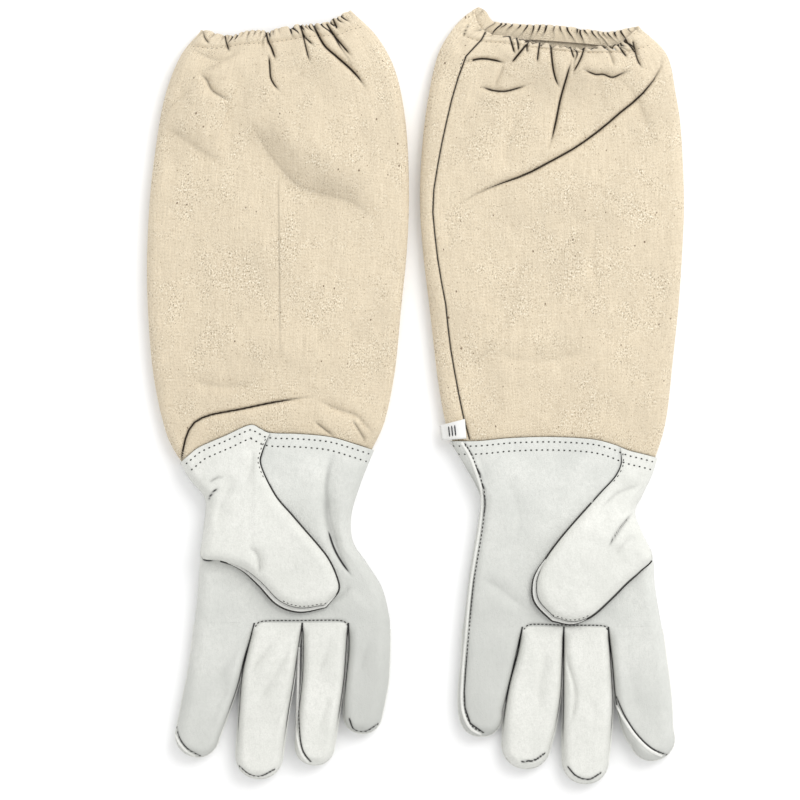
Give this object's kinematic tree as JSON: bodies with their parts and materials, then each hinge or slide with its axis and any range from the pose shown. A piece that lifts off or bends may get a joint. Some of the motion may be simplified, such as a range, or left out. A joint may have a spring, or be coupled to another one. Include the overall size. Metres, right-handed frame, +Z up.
{
  "type": "beekeeping gloves",
  "caption": "Pair of long beekeeping gloves lying palm up: leather hands with folded-over thumbs sewn to wide canvas sleeves with elastic cuffs.",
  "frame": {"origin": "on the surface the gloves lie on, under the middle of the pair", "axes": "+Y from the fingers towards the sleeves' openings, +Z up out of the palms, +X from the right-hand glove to the left-hand glove"},
  "size_m": [0.3326, 0.4795, 0.0315],
  "materials": {
    "canvas": "plain-woven unbleached cotton canvas with small dark flecks",
    "grey_leather": "soft matt pale grey suede",
    "white_leather": "smooth off-white goatskin",
    "thread": "sewing thread",
    "elastic": "covered elastic",
    "tag": "white woven label"
  },
  "bodies": {
    "right_thumb": {"right_thumb_back": "white_leather", "right_thumb_front": "white_leather", "right_thumb_welt": "white_leather"},
    "right_index": {"right_index_back": "grey_leather", "right_index_front": "grey_leather", "right_index_welt": "grey_leather"},
    "right_middle": {"right_middle_back": "grey_leather", "right_middle_front": "white_leather", "right_middle_welt": "white_leather"},
    "right_ring": {"right_ring_back": "grey_leather", "right_ring_front": "white_leather", "right_ring_welt": "white_leather"},
    "right_little": {"right_little_back": "grey_leather", "right_little_front": "grey_leather", "right_little_welt": "grey_leather"},
    "right_glove": {"right_canvas_sleeve": "canvas", "right_cuff_elastic": "elastic", "right_cuff_thread_lower": "thread", "right_cuff_thread_upper": "thread", "right_finger_base_thread": "thread", "right_hand_back": "grey_leather", "right_hem_thread": "thread", "right_hem_turning": "canvas", "right_palm": "grey_leather", "right_side_seam_thread": "thread", "right_sleeve_seam_strip": "canvas", "right_thumb_wing": "white_leather"},
    "left_thumb": {"left_thumb_back": "white_leather", "left_thumb_front": "white_leather", "left_thumb_welt": "white_leather"},
    "left_index": {"left_index_back": "grey_leather", "left_index_front": "grey_leather", "left_index_welt": "grey_leather"},
    "left_middle": {"left_middle_back": "grey_leather", "left_middle_front": "white_leather", "left_middle_welt": "white_leather"},
    "left_ring": {"left_ring_back": "grey_leather", "left_ring_front": "white_leather", "left_ring_welt": "white_leather"},
    "left_little": {"left_little_back": "grey_leather", "left_little_front": "grey_leather", "left_little_welt": "grey_leather"},
    "left_glove": {"left_canvas_sleeve": "canvas", "left_cuff_elastic": "elastic", "left_cuff_thread_lower": "thread", "left_cuff_thread_upper": "thread", "left_finger_base_thread": "thread", "left_hand_back": "grey_leather", "left_hem_thread": "thread", "left_hem_turning": "canvas", "left_palm": "grey_leather", "left_side_seam_thread": "thread", "left_size_tag": "tag", "left_sleeve_seam_strip": "canvas", "left_thumb_wing": "white_leather"}
  },
  "joints": [
    {"name": "left_glove_lift", "type": "slide", "parent": "right_glove", "child": "left_glove", "axis": [0, 0, 1], "range_m": [0, 0.25]},
    {"name": "right_index_bend", "type": "hinge", "parent": "right_glove", "child": "right_index", "pos_m": [-0.1187, -0.14125, 0.0156], "axis": [-1, 0, 0], "range_deg": [0, 75]},
    {"name": "right_middle_bend", "type": "hinge", "parent": "right_glove", "child": "right_middle", "pos_m": [-0.0849, -0.14125, 0.0156], "axis": [-1, 0, 0], "range_deg": [0, 75]},
    {"name": "right_ring_bend", "type": "hinge", "parent": "right_glove", "child": "right_ring", "pos_m": [-0.0558, -0.14125, 0.0156], "axis": [-1, 0, 0], "range_deg": [0, 75]},
    {"name": "right_little_bend", "type": "hinge", "parent": "right_glove", "child": "right_little", "pos_m": [-0.0284, -0.14125, 0.0156], "axis": [-1, 0, 0], "range_deg": [0, 75]},
    {"name": "right_thumb_unfold", "type": "hinge", "parent": "right_glove", "child": "right_thumb", "pos_m": [-0.107, -0.076, 0.0182], "axis": [-0.6459, -0.7634, 0], "range_deg": [0, 75]},
    {"name": "left_index_bend", "type": "hinge", "parent": "left_glove", "child": "left_index", "pos_m": [0.1361, -0.14325, 0.0156], "axis": [-1, 0, 0], "range_deg": [0, 75]},
    {"name": "left_middle_bend", "type": "hinge", "parent": "left_glove", "child": "left_middle", "pos_m": [0.1057, -0.14325, 0.0156], "axis": [-1, 0, 0], "range_deg": [0, 75]},
    {"name": "left_ring_bend", "type": "hinge", "parent": "left_glove", "child": "left_ring", "pos_m": [0.079, -0.14325, 0.0156], "axis": [-1, 0, 0], "range_deg": [0, 75]},
    {"name": "left_little_bend", "type": "hinge", "parent": "left_glove", "child": "left_little", "pos_m": [0.0474, -0.14325, 0.0156], "axis": [-1, 0, 0], "range_deg": [0, 75]},
    {"name": "left_thumb_unfold", "type": "hinge", "parent": "left_glove", "child": "left_thumb", "pos_m": [0.13, -0.079, 0.0182], "axis": [-0.774, 0.6332, 0], "range_deg": [0, 75]}
  ]
}
